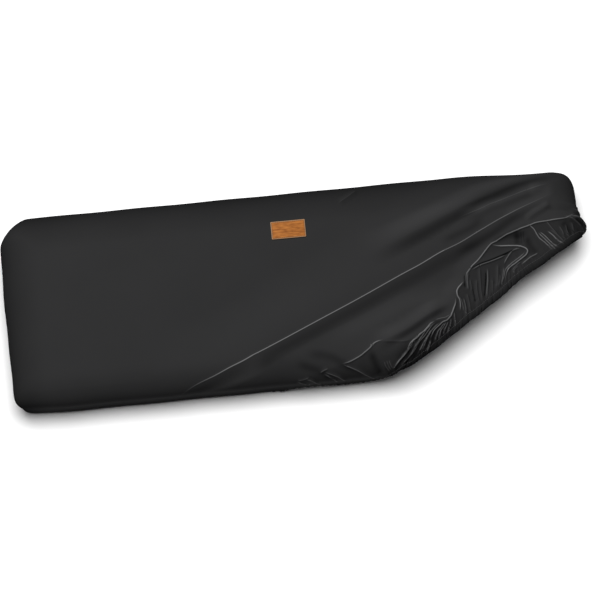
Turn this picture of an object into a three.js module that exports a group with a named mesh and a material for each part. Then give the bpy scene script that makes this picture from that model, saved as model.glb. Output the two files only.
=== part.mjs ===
// A stretch dust cover with an elastic hem, as it sits over a long flat body when its right front
// corner has been pulled back over the top. Millimetres, +Z up, +X along the length, +Y to the back.
// The origin is at the middle of the underside of the cover's top.
import * as THREE from 'three';

// Overall sizes of the cover
const LENGTH = 1012;
const DEPTH = 342;
const HEIGHT = 95;
const CLOTH = 2;

// Section from the flat top to the hem: a soft shoulder, a wall, a roll under and a lip
const SHOULDER_RUN = 50;
const SHOULDER_DROP = 30;
const WALL_LEAN = 4;
const ROLL_RADIUS = 12;
const LIP_WIDTH = 26;
const HEM_THICKNESS = 3.6;
const CORNER_LIP_EASE = 14;

// How square each corner is: 2 is a round one, and more is squarer
const CORNER_POWER = { backRight: 3.2, backLeft: 1.8, frontLeft: 3.6, frontRight: 2.5 };
const INNER_CORNER_RADIUS = 20;

// Label of leather sewn near the back edge
const LABEL = { width: 62, depth: 32, thickness: 1.6, corner: 2.5, centre: [-3, 97.4], gap: 0.3 };
const LABEL_TURN = 1.5;

// The shape is laid out on a spread-out plan: the plane of the top, carried on outwards, where the
// distance past the edge of the flat top is the way down the section. Rows of the lifted edge run
// from the front to the right: the fold line, the hem beyond it, and the crest of the fold.
const LIFTED = [
  { fold: [-40, -121], hem: [-60, -273], crest: 0 },
  { fold: [20, -121], hem: [4, -256], crest: 0 },
  { fold: [80, -121], hem: [66, -243], crest: 0 },
  { fold: [116, -121], hem: [112, -228], crest: 1 },
  { fold: [142, -121], hem: [140, -199], crest: 3 },
  { fold: [170, -122], hem: [152, -179], crest: 6 },
  { fold: [191, -119], hem: [164, -170], crest: 8 },
  { fold: [208, -109], hem: [182, -160], crest: 9 },
  { fold: [225, -97], hem: [207, -146], crest: 10 },
  { fold: [241, -93], hem: [232, -134], crest: 11 },
  { fold: [255, -89], hem: [250, -124], crest: 11 },
  { fold: [264, -76], hem: [266, -115], crest: 12 },
  { fold: [271, -57], hem: [281, -105], crest: 13 },
  { fold: [281, -37], hem: [294, -96], crest: 14 },
  { fold: [301, -7], hem: [311, -85], crest: 15 },
  { fold: [323, 15], hem: [334, -71], crest: 15 },
  { fold: [343, 36], hem: [358, -55], crest: 14 },
  { fold: [365, 48], hem: [388, -37], crest: 13 },
  { fold: [392, 58], hem: [420, -16], crest: 12 },
  { fold: [418, 65], hem: [450, 3], crest: 10 },
  { fold: [438, 69], hem: [478, 21], crest: 8 },
  { fold: [450, 74], hem: [509, 40], crest: 6 },
  { fold: [455, 82], hem: [546, 50], crest: 4 },
  { fold: [456, 90], hem: [582, 66], crest: 2 },
  { fold: [456, 96], hem: [608, 90], crest: 0 },
];
const CREST_REACH = 70;

// Gathers of the lifted edge, stretch after stretch: the share of the edge where each stretch ends,
// its pleats, which run from the fold line to the hem, and their height
const GATHERS = [
  { until: 0.06, pleats: 1, height: 0 },
  { until: 0.17, pleats: 3, height: 3 },
  { until: 0.38, pleats: 5, height: 4 },
  { until: 0.5, pleats: 2, height: 4 },
  { until: 0.66, pleats: 5, height: 5 },
  { until: 0.75, pleats: 2, height: 7 },
  { until: 0.86, pleats: 4, height: 5 },
  { until: 1, pleats: 3, height: 7 },
];
const PLEAT_UNEVENNESS = 0.35;

// Long folds of the top: the crest line from end to end, bowed sideways, and the reach of each flank
const FOLDS = [
  { from: [-215, -185], to: [480, 127], bow: 3, height: 8, left: 90, right: 20 },
  { from: [120, 34], to: [450, 158], bow: 4, height: 6, left: 55, right: 26 },
  { from: [225, 54], to: [470, 130], bow: 6, height: 5, left: 16, right: 24 },
  { from: [310, 58], to: [464, 110], bow: 4, height: 4, left: 14, right: 16 },
  { from: [125, -117], to: [285, -52], bow: 4, height: 6, left: 30, right: 20 },
  { from: [90, -92], to: [300, 6], bow: -3, height: 3, left: 20, right: 26 },
];

// Places where the slack drew an edge in: the middle of each, how far it reaches and the shift there
const PULLS = [
  { place: [480, 171], reach: 200, shift: [0, -8] },
  { place: [506, 100], reach: 60, shift: [-5, 0] },
  { place: [-506, -171], reach: 150, shift: [5, 0] },
];

// Slight unevenness of the shoulder and wall
const UNEVEN = { height: 1.3, pitchAlong: 148, pitchAcross: 92 };

// Columns along each stretch of the rim, an even number in all, closer beside the long folds; rows down
// each stretch of the section; and rows over the top, from a spine on the first and longest fold
const COLUMNS = { pleat: 5, corner: 8, backRight: 20, backLeft: 12, left: 6, frontLeft: 5, front: 15 };
const ROWS = { shoulder: 4, wall: 2, roll: 2, lip: 2 };
const TOP_ROWS = [0.08, 0.18, 0.32, 0.5, 0.74];
const SPINE = { startShare: 0.28, endShare: 0.93, steps: 14 };
const FINE_FROM_X = { back: 90, front: -250 };

// Sizes worked out from those above
const CORE_X = LENGTH / 2 - SHOULDER_RUN;
const CORE_Y = DEPTH / 2 - SHOULDER_RUN;
const INSET_X = CORE_X - INNER_CORNER_RADIUS;
const INSET_Y = CORE_Y - INNER_CORNER_RADIUS;
const SHOULDER_ARC = (Math.PI / 4) * (3 * (SHOULDER_RUN + SHOULDER_DROP)
  - Math.sqrt((3 * SHOULDER_RUN + SHOULDER_DROP) * (SHOULDER_RUN + 3 * SHOULDER_DROP)));
const WALL = HEIGHT - CLOTH - SHOULDER_DROP - ROLL_RADIUS;
const ROLL_ARC = (ROLL_RADIUS * Math.PI) / 2;
const TO_HEM = SHOULDER_ARC + WALL + ROLL_ARC + LIP_WIDTH;

const { clamp, lerp, smoothstep } = THREE.MathUtils;
const vector = ([x, y]) => new THREE.Vector2(x, y);

// Section: how far out and how far down the cloth is, a given way past the edge of the flat top
function section(way) {
  const turn = (Math.min(way / SHOULDER_ARC, 1) * Math.PI) / 2;
  const down = clamp(way - SHOULDER_ARC, 0, WALL);
  const roll = clamp((way - SHOULDER_ARC - WALL) / ROLL_RADIUS, 0, Math.PI / 2);
  const lip = Math.max(way - SHOULDER_ARC - WALL - ROLL_ARC, 0);
  const out = SHOULDER_RUN * Math.sin(turn) - (WALL_LEAN * down) / WALL;
  const drop = SHOULDER_DROP * (1 - Math.cos(turn)) + down + ROLL_RADIUS * Math.sin(roll);
  return { out: out - ROLL_RADIUS * (1 - Math.cos(roll)) - lip, drop };
}

function cornerPower(u, v) {
  if (v > 0) return u > 0 ? CORNER_POWER.backRight : CORNER_POWER.backLeft;
  return u > 0 ? CORNER_POWER.frontRight : CORNER_POWER.frontLeft;
}

function pulledIn(point) {
  const moved = point.clone();
  for (const { place, reach, shift } of PULLS) {
    const away = Math.hypot(point.x - place[0], point.y - place[1]) / reach;
    const share = Math.max(1 - away ** 2, 0) ** 2;
    moved.x += share * shift[0];
    moved.y += share * shift[1];
  }
  return moved;
}

// Smooth cover without folds: a point of the spread-out plan, let down over the edges
function letDown(u, v) {
  const overX = Math.max(Math.abs(u) - CORE_X, 0);
  const overY = Math.max(Math.abs(v) - CORE_Y, 0);
  const power = cornerPower(u, v);
  const way = (overX ** power + overY ** power) ** (1 / power);
  if (way === 0) return pulledIn(new THREE.Vector3(u, v, CLOTH / 2));
  const { out, drop } = section(way);
  const x = Math.sign(u) * (Math.min(Math.abs(u), CORE_X) + (overX * out) / way);
  const y = Math.sign(v) * (Math.min(Math.abs(v), CORE_Y) + (overY * out) / way);
  return pulledIn(new THREE.Vector3(x, y, CLOTH / 2 - drop));
}

function outward(u, v) {
  const step = 0.5;
  const along = letDown(u + step, v).sub(letDown(u - step, v));
  const across = letDown(u, v + step).sub(letDown(u, v - step));
  return along.cross(across).normalize();
}

// Lifted edge: its fold line, hem and crest as smooth curves of one share from 0 to 1
const foldLine = new THREE.SplineCurve(LIFTED.map((row) => vector(row.fold)));
const hemLine = new THREE.SplineCurve(LIFTED.map((row) => vector(row.hem)));
const crestLine = new THREE.SplineCurve(LIFTED.map((row, index) => new THREE.Vector2(index, row.crest)));
const FOLD_SAMPLES = 300;
const foldSamples = foldLine.getPoints(FOLD_SAMPLES);

const crestAt = (share) => Math.max(crestLine.getPoint(share).y, 0);

// Height on the top side of the fold line, where the cloth rises softly up to the crest
function crestRise(point) {
  let distance = Infinity;
  let share = 0;
  foldSamples.forEach((sample, index) => {
    const away = sample.distanceTo(point);
    if (away >= distance) return;
    distance = away;
    share = index / FOLD_SAMPLES;
  });
  return crestAt(share) * (1 - smoothstep(distance, 0, CREST_REACH));
}

// Height of the pleats at a share of the lifted edge, and a share of the way from fold line to hem
function gatherRise(share, way) {
  const index = GATHERS.findIndex(({ until }) => share <= until);
  const { until, pleats, height } = GATHERS[index];
  const start = index > 0 ? GATHERS[index - 1].until : 0;
  const phase = ((share - start) / (until - start)) * pleats;
  const uneven = 1 + PLEAT_UNEVENNESS * Math.sin(5 * Math.floor(phase) + 2 * index);
  const pleat = (1 - Math.cos(2 * Math.PI * phase)) / 2;
  const growth = smoothstep(way, 0, 0.5) * (1 - 0.6 * smoothstep(way, 0.75, 1));
  return height * uneven * pleat * growth;
}

// Height on the strip between fold line and hem: the crest falls away under the pleats
const stripRise = (share, way) => crestAt(share) * Math.cos((Math.PI / 2) * way) + gatherRise(share, way);

// Height of one long fold at a point: sharp at its crest line, easing out on both flanks and at its ends
function foldRise(point, { from, to, bow, height, left, right }) {
  const line = vector(to).sub(vector(from));
  const length = line.length();
  const offset = point.clone().sub(vector(from));
  const share = offset.dot(line) / length ** 2;
  if (share <= 0 || share >= 1) return 0;
  const side = line.cross(offset) / length - bow * Math.sin(Math.PI * share);
  const flank = Math.max(1 - Math.abs(side) / (side > 0 ? left : right), 0);
  return height * Math.sin(Math.PI * share) * flank ** 2;
}

function unevenRise(u, v) {
  const over = Math.max(Math.abs(u) - CORE_X, Math.abs(v) - CORE_Y, 0);
  const share = smoothstep(over, 0, SHOULDER_ARC) - smoothstep(over, TO_HEM - 2 * LIP_WIDTH, TO_HEM);
  const along = Math.sin((2 * Math.PI * u) / UNEVEN.pitchAlong);
  const across = Math.sin((2 * Math.PI * v) / UNEVEN.pitchAcross);
  return (UNEVEN.height * share * (along + across)) / 2;
}

// Middle of the cloth at a point of the spread-out plan, raised off the smooth cover by all its folds;
// a point of the lifted strip also says its share of the edge and of the way to the hem
function drape({ point, strip }) {
  let rise = strip ? stripRise(strip.share, strip.way) : crestRise(point);
  rise += unevenRise(point.x, point.y);
  for (const fold of FOLDS) rise += foldRise(point, fold);
  return letDown(point.x, point.y).addScaledVector(outward(point.x, point.y), rise);
}

// Rim of the spread-out plan, counterclockwise from the lifted edge: each column runs from the edge of
// the flat top, or the fold line, out to the hem
function straightColumns(from, to, out, count) {
  const columns = [];
  for (let index = 0; index < count; index += 1) {
    const inner = vector(from).lerp(vector(to), index / count);
    columns.push({ inner, hem: inner.clone().addScaledVector(vector(out), TO_HEM) });
  }
  return columns;
}

function cornerColumns(signX, signY, startAngle, count) {
  const columns = [];
  const power = cornerPower(signX, signY);
  const core = new THREE.Vector2(signX * CORE_X, signY * CORE_Y);
  const centre = new THREE.Vector2(signX * INSET_X, signY * INSET_Y);
  for (let index = 0; index < count; index += 1) {
    const angle = startAngle + ((index / count) * Math.PI) / 2;
    const direction = new THREE.Vector2(Math.cos(angle), Math.sin(angle));
    const squared = new THREE.Vector2(
      signX * Math.abs(direction.x) ** (2 / power),
      signY * Math.abs(direction.y) ** (2 / power),
    );
    const ease = CORNER_LIP_EASE * Math.abs(Math.sin(2 * angle));
    columns.push({
      inner: centre.clone().addScaledVector(direction, INNER_CORNER_RADIUS),
      hem: core.clone().addScaledVector(squared, TO_HEM - ease),
    });
  }
  return columns;
}

function liftedColumns() {
  const shares = [0];
  for (const { until, pleats } of GATHERS) {
    const start = shares.at(-1);
    const count = pleats * COLUMNS.pleat;
    for (let index = 1; index <= count; index += 1) shares.push(lerp(start, until, index / count));
  }
  return shares.map((share) => ({ inner: foldLine.getPoint(share), hem: hemLine.getPoint(share), share }));
}

function rimColumns() {
  return [
    ...liftedColumns(),
    ...cornerColumns(1, 1, 0, COLUMNS.corner),
    ...straightColumns([INSET_X, CORE_Y], [FINE_FROM_X.back, CORE_Y], [0, 1], COLUMNS.backRight),
    ...straightColumns([FINE_FROM_X.back, CORE_Y], [-INSET_X, CORE_Y], [0, 1], COLUMNS.backLeft),
    ...cornerColumns(-1, 1, Math.PI / 2, COLUMNS.corner),
    ...straightColumns([-CORE_X, INSET_Y], [-CORE_X, -INSET_Y], [-1, 0], COLUMNS.left),
    ...cornerColumns(-1, -1, Math.PI, COLUMNS.corner),
    ...straightColumns([-INSET_X, -CORE_Y], [FINE_FROM_X.front, -CORE_Y], [0, -1], COLUMNS.frontLeft),
    ...straightColumns([FINE_FROM_X.front, -CORE_Y], LIFTED[0].fold, [0, -1], COLUMNS.front),
  ];
}

// Shares of the way from the edge of the flat top to the hem at which the rows lie
function stripShares() {
  const stretches = [
    { length: SHOULDER_ARC, rows: ROWS.shoulder },
    { length: WALL, rows: ROWS.wall },
    { length: ROLL_ARC, rows: ROWS.roll },
    { length: LIP_WIDTH, rows: ROWS.lip },
  ];
  const ways = [0];
  for (const { length, rows } of stretches) {
    const start = ways.at(-1);
    for (let row = 1; row <= rows; row += 1) ways.push(start + (length * row) / rows);
  }
  return ways.map((way) => way / TO_HEM);
}

// Spine of the top: points along the crest of the longest fold
function spinePoints() {
  const from = vector(FOLDS[0].from);
  const to = vector(FOLDS[0].to);
  const aside = new THREE.Vector2(from.y - to.y, to.x - from.x).normalize();
  return Array.from({ length: SPINE.steps + 1 }, (_, index) => {
    const share = lerp(SPINE.startShare, SPINE.endShare, index / SPINE.steps);
    return from.clone().lerp(to, share).addScaledVector(aside, FOLDS[0].bow * Math.sin(Math.PI * share));
  });
}

// Faces between two closed rows of as many points, or from one to a row of twice as many
function joinRows(faces, inner, outer) {
  inner.forEach((start, index) => {
    const next = (index + 1) % inner.length;
    faces.push([start, outer[index], outer[next]], [start, outer[next], inner[next]]);
  });
}

function zipRows(faces, inner, outer) {
  inner.forEach((start, index) => {
    const end = inner[(index + 1) % inner.length];
    const middle = outer[2 * index + 1];
    faces.push([start, outer[2 * index], middle]);
    faces.push([start, middle, end]);
    faces.push([end, middle, outer[(2 * index + 2) % outer.length]]);
  });
}

// Faces from the spine, whose points are numbered from 0, to the first row round it
function joinSpine(faces, roots, outer) {
  roots.forEach((root, index) => {
    const next = (index + 1) % roots.length;
    const step = Math.sign(roots[next] - root);
    faces.push([root, outer[index], outer[next]]);
    for (let from = root; from !== roots[next]; from += step) faces.push([from, outer[next], from + step]);
  });
}

// One sheet in the spread-out plan: its points, its faces and the rows of its hem
function sheetPlan() {
  const points = [];
  const faces = [];
  const add = (point, strip) => points.push({ point, strip }) - 1;
  const columns = rimColumns();
  const everySecond = columns.filter((_, index) => index % 2 === 0);
  const spine = spinePoints();
  spine.forEach((point) => add(point));
  const spineWay = spine.at(-1).clone().sub(spine[0]);
  const roots = everySecond.map(({ inner }) => {
    const share = inner.clone().sub(spine[0]).dot(spineWay) / spineWay.lengthSq();
    return Math.round(clamp(share, 0, 1) * SPINE.steps);
  });
  const topRows = TOP_ROWS.map((part) => (
    everySecond.map(({ inner }, index) => add(spine[roots[index]].clone().lerp(inner, part)))
  ));
  const stripRows = stripShares().map((way) => columns.map(({ inner, hem, share }) => (
    add(inner.clone().lerp(hem, way), share === undefined ? null : { share, way })
  )));
  joinSpine(faces, roots, topRows[0]);
  topRows.slice(1).forEach((row, index) => joinRows(faces, topRows[index], row));
  zipRows(faces, topRows.at(-1), stripRows[0]);
  stripRows.slice(1).forEach((row, index) => joinRows(faces, stripRows[index], row));
  return { points, faces, hemRows: stripRows.slice(-2) };
}

// Closed sheet: the middle of the cloth set off to both sides by half its thickness, joined at the hem
function coverGeometry() {
  const { points, faces, hemRows } = sheetPlan();
  const middle = new THREE.BufferGeometry().setFromPoints(points.map(drape));
  middle.setIndex(faces.flat());
  middle.computeVertexNormals();
  const thick = new Set(hemRows.flat());
  const position = middle.getAttribute('position');
  const normal = middle.getAttribute('normal');
  const shell = [1, -1].flatMap((side) => points.map((_, index) => {
    const half = (thick.has(index) ? HEM_THICKNESS : CLOTH) / 2;
    const facing = new THREE.Vector3().fromBufferAttribute(normal, index);
    return new THREE.Vector3().fromBufferAttribute(position, index).addScaledVector(facing, side * half);
  }));
  const under = points.length;
  const shellFaces = faces.flatMap(([a, b, c]) => [[a, b, c], [under + a, under + c, under + b]]);
  const rim = hemRows.at(-1);
  rim.forEach((start, index) => {
    const end = rim[(index + 1) % rim.length];
    shellFaces.push([end, start, under + start], [end, under + start, under + end]);
  });
  return new THREE.BufferGeometry().setFromPoints(shell).setIndex(shellFaces.flat());
}

function labelGeometry() {
  const { width, depth, corner, thickness } = LABEL;
  const [right, top] = [width / 2, depth / 2];
  const outline = new THREE.Shape();
  outline.absarc(right - corner, top - corner, corner, 0, Math.PI / 2);
  outline.absarc(corner - right, top - corner, corner, Math.PI / 2, Math.PI);
  outline.absarc(corner - right, corner - top, corner, Math.PI, 1.5 * Math.PI);
  outline.absarc(right - corner, corner - top, corner, 1.5 * Math.PI, 2 * Math.PI);
  return new THREE.ExtrudeGeometry(outline, { depth: thickness, bevelEnabled: false, curveSegments: 5 });
}

function mesh(name, geometry, material) {
  const piece = new THREE.Mesh(geometry, new THREE.MeshStandardMaterial(material));
  piece.name = name;
  return piece;
}

const cover = mesh('cover', coverGeometry(), { color: '#202021', roughness: 0.85, metalness: 0 });
const label = mesh('label', labelGeometry(), { color: '#a9652d', roughness: 0.6, metalness: 0 });
label.position.set(...LABEL.centre, CLOTH + LABEL.gap);
label.rotation.z = THREE.MathUtils.degToRad(LABEL_TURN);

const dustCover = new THREE.Group();
dustCover.add(cover, label);
export default dustCover;
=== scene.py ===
# %% [markdown]
# # A stretch dust cover
# The object is a black knitted cover with an elastic hem, pulled over a long flat body so that dust stays off
# it. Its right front corner has been pushed back over the top, so the cloth there bunches into gathers.
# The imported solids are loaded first, as a fixed frame. The cloth, its sewing and its label are then made as
# finer meshes in the same place, and each gets a finish made of shader nodes.

# %% Load the frame
import math
from collections import namedtuple

import bpy
import numpy as np
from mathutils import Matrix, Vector
from mathutils.geometry import delaunay_2d_cdt
from mathutils.kdtree import KDTree


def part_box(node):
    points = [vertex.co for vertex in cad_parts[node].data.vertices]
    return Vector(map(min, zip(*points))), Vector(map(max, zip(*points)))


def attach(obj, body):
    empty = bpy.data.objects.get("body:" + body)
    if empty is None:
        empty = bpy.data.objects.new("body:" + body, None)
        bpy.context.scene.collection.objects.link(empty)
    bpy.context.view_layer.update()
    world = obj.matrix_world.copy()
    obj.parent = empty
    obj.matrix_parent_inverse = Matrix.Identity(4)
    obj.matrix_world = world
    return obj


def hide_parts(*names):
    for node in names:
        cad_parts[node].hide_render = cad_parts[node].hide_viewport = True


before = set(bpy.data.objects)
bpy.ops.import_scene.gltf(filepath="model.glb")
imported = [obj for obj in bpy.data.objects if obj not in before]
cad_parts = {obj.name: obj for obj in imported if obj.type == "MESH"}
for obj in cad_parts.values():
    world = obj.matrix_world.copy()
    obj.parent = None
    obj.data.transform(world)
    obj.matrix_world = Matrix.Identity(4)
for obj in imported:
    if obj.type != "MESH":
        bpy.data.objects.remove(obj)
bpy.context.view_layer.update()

MM = 0.001

# %% [markdown]
# ## Camera
# A product picture like this is taken from high above the front, with a long lens from far away, so that the
# long sides stay almost parallel. The camera is placed by two angles and a distance, and is aimed a little
# beside the middle of the cover, which moves the cover in the frame without any lens shift.

# %% Camera
AZIMUTH, ELEVATION = math.radians(-5.8), math.radians(75)
DISTANCE = 3.6
LENS, SENSOR = 123.5, 36
AIM = Vector((0, 0, -0.0455))
AIM_RIGHT, AIM_DOWN = 0.0075, 0.0169

back = Vector((math.sin(AZIMUTH) * math.cos(ELEVATION), -math.cos(AZIMUTH) * math.cos(ELEVATION),
               math.sin(ELEVATION)))
right = Vector((math.cos(AZIMUTH), math.sin(AZIMUTH), 0))
target = AIM + AIM_RIGHT * right - AIM_DOWN * back.cross(right)
camera = bpy.data.objects.new("camera", bpy.data.cameras.new("camera"))
camera.location = target + DISTANCE * back
camera.rotation_euler = back.to_track_quat("Z", "Y").to_euler()
camera.data.lens, camera.data.sensor_width = LENS, SENSOR
bpy.context.scene.collection.objects.link(camera)
bpy.context.scene.camera = camera
print("the camera stands at", [round(value, 3) for value in camera.location])

# %% [markdown]
# ## Light
# Black cloth shows its folds only by the light that rakes over them. A lamp of middling size stands behind
# and to the left, so that flanks turned that way are paler and the front wall is dark. The white floor has
# a wide light of its own overhead, as a backdrop in a studio does. Light linking keeps each lamp to its own
# things, so the shadow on the floor stays short and soft. The standard view keeps white things white.

# %% Lights and surroundings
Lamp = namedtuple("Lamp", "name place size power")
CLOTH_LAMP = Lamp("cloth_light", (-1.68, 2.24, 4.15), 1.25, 330)
FLOOR_LAMP = Lamp("floor_light", (-0.1, 0.4, 3.4), 2.2, 190)
SURROUND = 0.1


def add_lamp(lamp):
    light = bpy.data.lights.new(lamp.name, "AREA")
    light.energy, light.size = lamp.power, lamp.size
    holder = bpy.data.objects.new(lamp.name, light)
    holder.location = lamp.place
    holder.rotation_euler = Vector(lamp.place).to_track_quat("Z", "Y").to_euler()
    bpy.context.scene.collection.objects.link(holder)
    return holder


def keep_to(holder, pieces):
    """Let a lamp light those pieces only."""
    lit = bpy.data.collections.new("lit_by_" + holder.name)
    for piece in pieces:
        lit.objects.link(piece)
    holder.light_linking.receiver_collection = lit


cloth_light, floor_light = add_lamp(CLOTH_LAMP), add_lamp(FLOOR_LAMP)
world = bpy.data.worlds.new("surroundings")
bpy.context.scene.world = world
world.use_nodes = True
world.node_tree.nodes["Background"].inputs["Color"].default_value = (1, 1, 1, 1)
world.node_tree.nodes["Background"].inputs["Strength"].default_value = SURROUND
bpy.context.scene.view_settings.view_transform = "Standard"
print("lights:", CLOTH_LAMP.name, "and", FLOOR_LAMP.name)

# %% [markdown]
# ## The spread-out plan
# Cloth is easiest to shape while it is flat. The plan is the plane of the top, carried on outwards past its
# edges, and it is measured in millimetres. A point past the edge of the top is let down over a soft shoulder,
# a wall, a roll under the body and a lip. Where two sides meet, a rounded-square rule joins them into a
# corner, and a higher power makes a squarer one. At four places the slack has drawn the edge in a little.

# %% Sizes
LENGTH, DEPTH, HEIGHT, CLOTH = 1012, 342, 95, 2
SHOULDER_RUN, SHOULDER_DROP = 50, 30
WALL_LEAN, ROLL_RADIUS, LIP_WIDTH = 4, 12, 26
FRONT_CORNERS, BACK_CORNERS = (4.4, 2.5), (1.6, 3.2)
Pull = namedtuple("Pull", "place reach shift")
PULLS = [Pull((480, 171), 200, (0, -8)), Pull((506, 100), 60, (-1, 0)), Pull((-506, -171), 220, (6, 0)),
         Pull((-490, -171), 80, (0, 2.5))]

CORE = np.array([LENGTH / 2 - SHOULDER_RUN, DEPTH / 2 - SHOULDER_RUN])
SHOULDER_ARC = math.pi / 4 * (3 * (SHOULDER_RUN + SHOULDER_DROP) - math.sqrt(
    (3 * SHOULDER_RUN + SHOULDER_DROP) * (SHOULDER_RUN + 3 * SHOULDER_DROP)))
WALL = HEIGHT - CLOTH - SHOULDER_DROP - ROLL_RADIUS
ROLL_ARC = ROLL_RADIUS * math.pi / 2
TO_HEM = SHOULDER_ARC + WALL + ROLL_ARC + LIP_WIDTH
print("from the edge of the top to the hem:", round(TO_HEM, 1), "mm")

# %% Let down the plan
def unit(vectors):
    return vectors / np.linalg.norm(vectors, axis=1, keepdims=True)


def smooth(value, low=0.0, high=1.0):
    """A soft step from 0 at low to 1 at high."""
    share = np.clip((value - low) / (high - low), 0, 1)
    return share * share * (3 - 2 * share)


def section(way):
    """How far out and how far down the cloth is, a given way past the edge of the top."""
    turn = np.clip(way / SHOULDER_ARC, 0, 1) * math.pi / 2
    down = np.clip(way - SHOULDER_ARC, 0, WALL)
    roll = np.clip((way - SHOULDER_ARC - WALL) / ROLL_RADIUS, 0, math.pi / 2)
    lip = np.maximum(way - SHOULDER_ARC - WALL - ROLL_ARC, 0)
    out = SHOULDER_RUN * np.sin(turn) - WALL_LEAN * down / WALL - ROLL_RADIUS * (1 - np.cos(roll)) - lip
    drop = SHOULDER_DROP * (1 - np.cos(turn)) + down + ROLL_RADIUS * np.sin(roll)
    return out, drop


def corner_power(plan):
    """The power of the corner that each point lies towards: left and right in front, then at the back."""
    right, back = (plan > 0).astype(int).T
    return np.array([FRONT_CORNERS, BACK_CORNERS])[back, right][:, None]


def past_edge(plan):
    """How far past the edge of the flat top each point of the plan lies, along both axes and in all."""
    over = np.maximum(np.abs(plan) - CORE, 0)
    power = corner_power(plan)
    return over, (over ** power).sum(axis=1, keepdims=True) ** (1 / power)


def pulled(flat):
    """The shift of the edge at places on the smooth cover, seen from above."""
    shift = np.zeros_like(flat)
    for pull in PULLS:
        away = np.linalg.norm(flat - pull.place, axis=1, keepdims=True) / pull.reach
        shift += np.clip(1 - away ** 2, 0, 1) ** 2 * np.array(pull.shift)
    return shift


def let_down(plan):
    """Points of the plan on the smooth cover, in millimetres."""
    over, way = past_edge(plan)
    out, drop = section(way)
    share = np.divide(over, way, out=np.zeros_like(over), where=way > 0)
    flat = np.sign(plan) * (np.minimum(np.abs(plan), CORE) + share * out)
    return np.hstack([flat + pulled(flat) * smooth(way, 0, SHOULDER_ARC), CLOTH / 2 - drop])


def outward(plan, step=0.5):
    """Directions straight out of the smooth cover at points of the plan."""
    along, across = np.array([step, 0]), np.array([0, step])
    return unit(np.cross(let_down(plan + along) - let_down(plan - along),
                         let_down(plan + across) - let_down(plan - across)))


front_hem = let_down(np.array([[0, -CORE[1] - TO_HEM]]))[0]
print("the middle of the front hem lies at", np.round(front_hem, 1))

# %% [markdown]
# ## The lifted corner
# Round the right front corner the cloth has been folded back. Each row of the table is one rib across that
# part: where the fold lies on the plan, where the hem lies beyond it, and how high the fold stands up. A
# smooth curve through the rows gives every point between them.

# %% Lifted edge
Rib = namedtuple("Rib", "fold hem crest")
LIFTED = [Rib(*row) for row in [
    ((-60, -197), (-66, -276), 0), ((-16, -166), (-24, -228), 1), ((26, -156), (22, -220), 2),
    ((54, -148), (62, -231), 3), ((79, -141), (95, -232), 3), ((98, -133), (117, -226), 4),
    ((113, -126), (130, -215), 4), ((128, -118), (138, -202), 4), ((150, -120), (146, -188), 5),
    ((174, -122), (153, -178), 7), ((191, -119), (163, -168), 8), ((208, -109), (180, -161), 9),
    ((225, -95), (207, -146), 10), ((241, -93), (232, -134), 10), ((255, -90), (250, -124), 11),
    ((264, -77), (266, -115), 11), ((271, -58), (281, -105), 12), ((276, -43), (291, -98), 12),
    ((290, -27), (300, -93), 12), ((301, -7), (311, -86), 13), ((317, 8), (327, -75), 13),
    ((331, 23), (342, -66), 13), ((343, 36), (358, -55), 13), ((360, 46), (380, -38), 12),
    ((379, 54), (404, -23), 12), ((397, 60), (428, -11), 11), ((417, 65), (450, 3), 10),
    ((438, 68), (470, 16), 9), ((459, 69), (488, 29), 8), ((476, 73), (509, 40), 6),
    ((490, 81), (535, 48), 4), ((486, 90), (565, 58), 2), ((468, 96), (592, 74), 1),
    ((457, 100), (610, 100), 0),
]]
CREST_REACH = 28
print("lifted edge:", len(LIFTED), "ribs, highest crest", max(rib.crest for rib in LIFTED), "mm")

# %% Curves through the ribs
FINE = np.linspace(0, 1, 900)


def curve_at(rows, share):
    """Points at shares from 0 to 1 of a smooth curve through the rows."""
    rows = np.asarray(rows, float)
    place = np.clip(share, 0, 1) * (len(rows) - 1)
    index = np.minimum(place.astype(int), len(rows) - 2)
    step = (place - index)[:, None]
    before, start, end, after = (rows[np.clip(index + shift, 0, len(rows) - 1)] for shift in (-1, 0, 1, 2))
    leave, arrive = (end - before) / 2, (after - start) / 2
    bend = 3 * (end - start) - 2 * leave - arrive
    twist = 2 * (start - end) + leave + arrive
    return start + step * (leave + step * (bend + step * twist))


def fold_at(share):
    return curve_at([rib.fold for rib in LIFTED], share)


def hem_at(share):
    return curve_at([rib.hem for rib in LIFTED], share)


def crest_at(share):
    return np.maximum(curve_at([(rib.crest,) for rib in LIFTED], share)[:, 0], 0)


def walk_along(line):
    """Distance along a line of points, from its start to each of them."""
    return np.concatenate([[0], np.cumsum(np.linalg.norm(np.diff(line, axis=0), axis=1))])


def nearest(points, targets):
    """For each point, the number of the nearest target and the distance to it."""
    tree = KDTree(len(targets))
    for number, place in enumerate(targets):
        tree.insert((*place, 0), number)
    tree.balance()
    found = [tree.find((*place, 0)) for place in points.tolist()]
    return np.array([hit[1] for hit in found]), np.array([hit[2] for hit in found])


print("the lifted hem is", round(walk_along(hem_at(FINE))[-1]), "mm long")

# %% [markdown]
# ## Creases
# Pulling the corner back leaves long creases over the top, and pleats where the edge is bunched. Each one is
# listed: a height, how far it reaches to the left and the right of its line, and the line itself as a
# few points on the plan. A sharp one ends in an edge that catches the light, and a soft one is a round swell.
# A negative height makes a trough. Each crease also carries painted light and shade: how much paler its left
# flank is painted, how much darker its right flank or its trough is painted as painted shade, and how bright
# the thin painted highlight along its crest is. A faint trough with a dark below zero is a painted pale
# patch.
# The reach at the end of a line can be narrower than at its start.

# %% Long folds
# The pale, dark and line fields are painted light, painted shade and a painted highlight, not the knit's own
# colour.
Crease = namedtuple("Crease", "height left right sharp line pale dark narrow points")


def alike(height, left, right, sharp, line, pale, dark, *lines):
    """Creases of one kind along several lines."""
    return [Crease(height, left, right, sharp, line, pale, dark, 1, points) for points in lines]


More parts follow.
